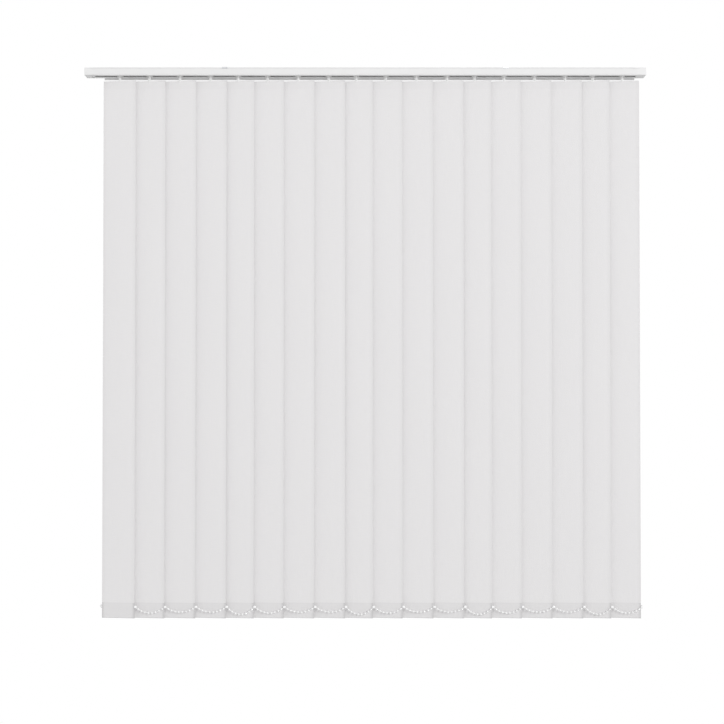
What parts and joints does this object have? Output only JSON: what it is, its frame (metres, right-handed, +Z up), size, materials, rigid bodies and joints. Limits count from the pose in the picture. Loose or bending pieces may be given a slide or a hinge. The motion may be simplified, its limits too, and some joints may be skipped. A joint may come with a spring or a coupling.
{
  "type": "vertical blind",
  "caption": "Vertical blind: slim white head rail with brackets and end caps, hanging fabric slats that turn and stack, joined at their hems by bead chains.",
  "frame": {"origin": "on the ceiling, midway between the screw holes of the two brackets", "axes": "+X along the rail away from the controls, +Y away from the viewer, +Z up"},
  "size_m": [1.5, 0.0468, 1.4699],
  "materials": {
    "rail_paint": "satin white powder coat",
    "cap_plastic": "satin moulded",
    "zinc_steel": "zinc plated",
    "rod_aluminium": "mill",
    "inner_plastic": "moulded",
    "slat_fabric": "fine plain weave",
    "chain_plastic": "moulded"
  },
  "bodies": {
    "rail": {"head_rail": "rail_paint", "mounting_bracket_left": "zinc_steel", "mounting_bracket_right": "zinc_steel", "control_end_cap": "cap_plastic", "idler_end_cap": "cap_plastic", "control_cap_cover": "cap_plastic", "idler_cap_cover": "cap_plastic", "pulley_pin": "zinc_steel", "carrier_01": "inner_plastic"},
    "tilt_drive": {"tilt_rod": "rod_aluminium", "chain_sprocket": "inner_plastic"},
    "pulley": {"return_pulley": "inner_plastic"},
    "runner_02": {"carrier_02": "inner_plastic"},
    "runner_03": {"carrier_03": "inner_plastic"},
    "runner_04": {"carrier_04": "inner_plastic"},
    "runner_05": {"carrier_05": "inner_plastic"},
    "runner_06": {"carrier_06": "inner_plastic"},
    "runner_07": {"carrier_07": "inner_plastic"},
    "runner_08": {"carrier_08": "inner_plastic"},
    "runner_09": {"carrier_09": "inner_plastic"},
    "runner_10": {"carrier_10": "inner_plastic"},
    "runner_11": {"carrier_11": "inner_plastic"},
    "runner_12": {"carrier_12": "inner_plastic"},
    "runner_13": {"carrier_13": "inner_plastic"},
    "runner_14": {"carrier_14": "inner_plastic"},
    "runner_15": {"carrier_15": "inner_plastic"},
    "runner_16": {"carrier_16": "inner_plastic"},
    "runner_17": {"carrier_17": "inner_plastic"},
    "runner_18": {"carrier_18": "inner_plastic"},
    "vane_01": {"slat_01": "slat_fabric"},
    "vane_02": {"slat_02": "slat_fabric"},
    "vane_03": {"slat_03": "slat_fabric"},
    "vane_04": {"slat_04": "slat_fabric"},
    "vane_05": {"slat_05": "slat_fabric"},
    "vane_06": {"slat_06": "slat_fabric"},
    "vane_07": {"slat_07": "slat_fabric"},
    "vane_08": {"slat_08": "slat_fabric"},
    "vane_09": {"slat_09": "slat_fabric"},
    "vane_10": {"slat_10": "slat_fabric"},
    "vane_11": {"slat_11": "slat_fabric"},
    "vane_12": {"slat_12": "slat_fabric"},
    "vane_13": {"slat_13": "slat_fabric"},
    "vane_14": {"slat_14": "slat_fabric"},
    "vane_15": {"slat_15": "slat_fabric"},
    "vane_16": {"slat_16": "slat_fabric"},
    "vane_17": {"slat_17": "slat_fabric"},
    "vane_18": {"slat_18": "slat_fabric"},
    "front_chain": {"front_bead_chain": "chain_plastic"},
    "rear_chain": {"rear_bead_chain": "chain_plastic"}
  },
  "joints": [
    {"name": "tilt", "type": "hinge", "parent": "rail", "child": "vane_01", "pos_m": [-0.6584, 0, -0.022], "axis": [0, 0, -1], "range_deg": [0, 164]},
    {"name": "traverse", "type": "slide", "parent": "rail", "child": "runner_18", "axis": [-1, 0, 0], "range_m": [0, 0.9167], "deforming": ["front_bead_chain", "rear_bead_chain"]},
    {"name": "run_02", "type": "slide", "parent": "rail", "child": "runner_02", "axis": [-1, 0, 0], "range_m": [0, 0.054]},
    {"name": "run_03", "type": "slide", "parent": "rail", "child": "runner_03", "axis": [-1, 0, 0], "range_m": [0, 0.1097]},
    {"name": "run_04", "type": "slide", "parent": "rail", "child": "runner_04", "axis": [-1, 0, 0], "range_m": [0, 0.1655]},
    {"name": "run_05", "type": "slide", "parent": "rail", "child": "runner_05", "axis": [-1, 0, 0], "range_m": [0, 0.2158]},
    {"name": "run_06", "type": "slide", "parent": "rail", "child": "runner_06", "axis": [-1, 0, 0], "range_m": [0, 0.2697]},
    {"name": "run_07", "type": "slide", "parent": "rail", "child": "runner_07", "axis": [-1, 0, 0], "range_m": [0, 0.3254]},
    {"name": "run_08", "type": "slide", "parent": "rail", "child": "runner_08", "axis": [-1, 0, 0], "range_m": [0, 0.3812]},
    {"name": "run_09", "type": "slide", "parent": "rail", "child": "runner_09", "axis": [-1, 0, 0], "range_m": [0, 0.4315]},
    {"name": "run_10", "type": "slide", "parent": "rail", "child": "runner_10", "axis": [-1, 0, 0], "range_m": [0, 0.4854]},
    {"name": "run_11", "type": "slide", "parent": "rail", "child": "runner_11", "axis": [-1, 0, 0], "range_m": [0, 0.5411]},
    {"name": "run_12", "type": "slide", "parent": "rail", "child": "runner_12", "axis": [-1, 0, 0], "range_m": [0, 0.5969]},
    {"name": "run_13", "type": "slide", "parent": "rail", "child": "runner_13", "axis": [-1, 0, 0], "range_m": [0, 0.6472]},
    {"name": "run_14", "type": "slide", "parent": "rail", "child": "runner_14", "axis": [-1, 0, 0], "range_m": [0, 0.7011]},
    {"name": "run_15", "type": "slide", "parent": "rail", "child": "runner_15", "axis": [-1, 0, 0], "range_m": [0, 0.7568]},
    {"name": "run_16", "type": "slide", "parent": "rail", "child": "runner_16", "axis": [-1, 0, 0], "range_m": [0, 0.8126]},
    {"name": "run_17", "type": "slide", "parent": "rail", "child": "runner_17", "axis": [-1, 0, 0], "range_m": [0, 0.8629]},
    {"name": "turn_02", "type": "hinge", "parent": "runner_02", "child": "vane_02", "pos_m": [-0.5791, 0, -0.022], "axis": [0, 0, -1], "range_deg": [0, 164]},
    {"name": "turn_03", "type": "hinge", "parent": "runner_03", "child": "vane_03", "pos_m": [-0.49715, 0, -0.022], "axis": [0, 0, -1], "range_deg": [0, 164]},
    {"name": "turn_04", "type": "hinge", "parent": "runner_04", "child": "vane_04", "pos_m": [-0.4152, 0, -0.022], "axis": [0, 0, -1], "range_deg": [0, 164]},
    {"name": "turn_05", "type": "hinge", "parent": "runner_05", "child": "vane_05", "pos_m": [-0.3412, 0, -0.022], "axis": [0, 0, -1], "range_deg": [0, 164]},
    {"name": "turn_06", "type": "hinge", "parent": "runner_06", "child": "vane_06", "pos_m": [-0.2619, 0, -0.022], "axis": [0, 0, -1], "range_deg": [0, 164]},
    {"name": "turn_07", "type": "hinge", "parent": "runner_07", "child": "vane_07", "pos_m": [-0.17995, 0, -0.022], "axis": [0, 0, -1], "range_deg": [0, 164]},
    {"name": "turn_08", "type": "hinge", "parent": "runner_08", "child": "vane_08", "pos_m": [-0.098, 0, -0.022], "axis": [0, 0, -1], "range_deg": [0, 164]},
    {"name": "turn_09", "type": "hinge", "parent": "runner_09", "child": "vane_09", "pos_m": [-0.024, 0, -0.022], "axis": [0, 0, -1], "range_deg": [0, 164]},
    {"name": "turn_10", "type": "hinge", "parent": "runner_10", "child": "vane_10", "pos_m": [0.0553, 0, -0.022], "axis": [0, 0, -1], "range_deg": [0, 164]},
    {"name": "turn_11", "type": "hinge", "parent": "runner_11", "child": "vane_11", "pos_m": [0.13725, 0, -0.022], "axis": [0, 0, -1], "range_deg": [0, 164]},
    {"name": "turn_12", "type": "hinge", "parent": "runner_12", "child": "vane_12", "pos_m": [0.2192, 0, -0.022], "axis": [0, 0, -1], "range_deg": [0, 164]},
    {"name": "turn_13", "type": "hinge", "parent": "runner_13", "child": "vane_13", "pos_m": [0.2932, 0, -0.022], "axis": [0, 0, -1], "range_deg": [0, 164]},
    {"name": "turn_14", "type": "hinge", "parent": "runner_14", "child": "vane_14", "pos_m": [0.3725, 0, -0.022], "axis": [0, 0, -1], "range_deg": [0, 164]},
    {"name": "turn_15", "type": "hinge", "parent": "runner_15", "child": "vane_15", "pos_m": [0.45445, 0, -0.022], "axis": [0, 0, -1], "range_deg": [0, 164]},
    {"name": "turn_16", "type": "hinge", "parent": "runner_16", "child": "vane_16", "pos_m": [0.5364, 0, -0.022], "axis": [0, 0, -1], "range_deg": [0, 164]},
    {"name": "turn_17", "type": "hinge", "parent": "runner_17", "child": "vane_17", "pos_m": [0.6104, 0, -0.022], "axis": [0, 0, -1], "range_deg": [0, 164]},
    {"name": "turn_18", "type": "hinge", "parent": "runner_18", "child": "vane_18", "pos_m": [0.6897, 0, -0.022], "axis": [0, 0, -1], "range_deg": [0, 164]},
    {"name": "drive_turn", "type": "hinge", "parent": "rail", "child": "tilt_drive", "pos_m": [0, 0.0084, -0.0118], "axis": [1, 0, 0], "range_deg": [0, 984]},
    {"name": "pulley_turn", "type": "hinge", "parent": "rail", "child": "pulley", "pos_m": [0.738, -0.0109, -0.0112], "axis": [0, 0, 1], "continuous": true},
    {"name": "front_chain_swing", "type": "hinge", "parent": "vane_01", "child": "front_chain", "pos_m": [-0.61176, -0.00656, -1.4393], "axis": [0, 0, 1], "range_deg": [0, 164]},
    {"name": "rear_chain_swing", "type": "hinge", "parent": "vane_01", "child": "rear_chain", "pos_m": [-0.70504, 0.00656, -1.4393], "axis": [0, 0, 1], "range_deg": [0, 164]}
  ],
  "couplings": [
    {"joint": "run_02", "follows": "traverse", "ratio": 0.058824},
    {"joint": "run_03", "follows": "traverse", "ratio": 0.11961},
    {"joint": "run_04", "follows": "traverse", "ratio": 0.1804},
    {"joint": "run_05", "follows": "traverse", "ratio": 0.23529},
    {"joint": "run_06", "follows": "traverse", "ratio": 0.29412},
    {"joint": "run_07", "follows": "traverse", "ratio": 0.35491},
    {"joint": "run_08", "follows": "traverse", "ratio": 0.4157},
    {"joint": "run_09", "follows": "traverse", "ratio": 0.47059},
    {"joint": "run_10", "follows": "traverse", "ratio": 0.52941},
    {"joint": "run_11", "follows": "traverse", "ratio": 0.5902},
    {"joint": "run_12", "follows": "traverse", "ratio": 0.65099},
    {"joint": "run_13", "follows": "traverse", "ratio": 0.70588},
    {"joint": "run_14", "follows": "traverse", "ratio": 0.76471},
    {"joint": "run_15", "follows": "traverse", "ratio": 0.82549},
    {"joint": "run_16", "follows": "traverse", "ratio": 0.88628},
    {"joint": "run_17", "follows": "traverse", "ratio": 0.94118},
    {"joint": "turn_02", "follows": "tilt", "ratio": 1},
    {"joint": "turn_03", "follows": "tilt", "ratio": 1},
    {"joint": "turn_04", "follows": "tilt", "ratio": 1},
    {"joint": "turn_05", "follows": "tilt", "ratio": 1},
    {"joint": "turn_06", "follows": "tilt", "ratio": 1},
    {"joint": "turn_07", "follows": "tilt", "ratio": 1},
    {"joint": "turn_08", "follows": "tilt", "ratio": 1},
    {"joint": "turn_09", "follows": "tilt", "ratio": 1},
    {"joint": "turn_10", "follows": "tilt", "ratio": 1},
    {"joint": "turn_11", "follows": "tilt", "ratio": 1},
    {"joint": "turn_12", "follows": "tilt", "ratio": 1},
    {"joint": "turn_13", "follows": "tilt", "ratio": 1},
    {"joint": "turn_14", "follows": "tilt", "ratio": 1},
    {"joint": "turn_15", "follows": "tilt", "ratio": 1},
    {"joint": "turn_16", "follows": "tilt", "ratio": 1},
    {"joint": "turn_17", "follows": "tilt", "ratio": 1},
    {"joint": "turn_18", "follows": "tilt", "ratio": 1},
    {"joint": "drive_turn", "follows": "tilt", "ratio": 6},
    {"joint": "front_chain_swing", "follows": "tilt", "ratio": 1},
    {"joint": "rear_chain_swing", "follows": "tilt", "ratio": 1}
  ]
}
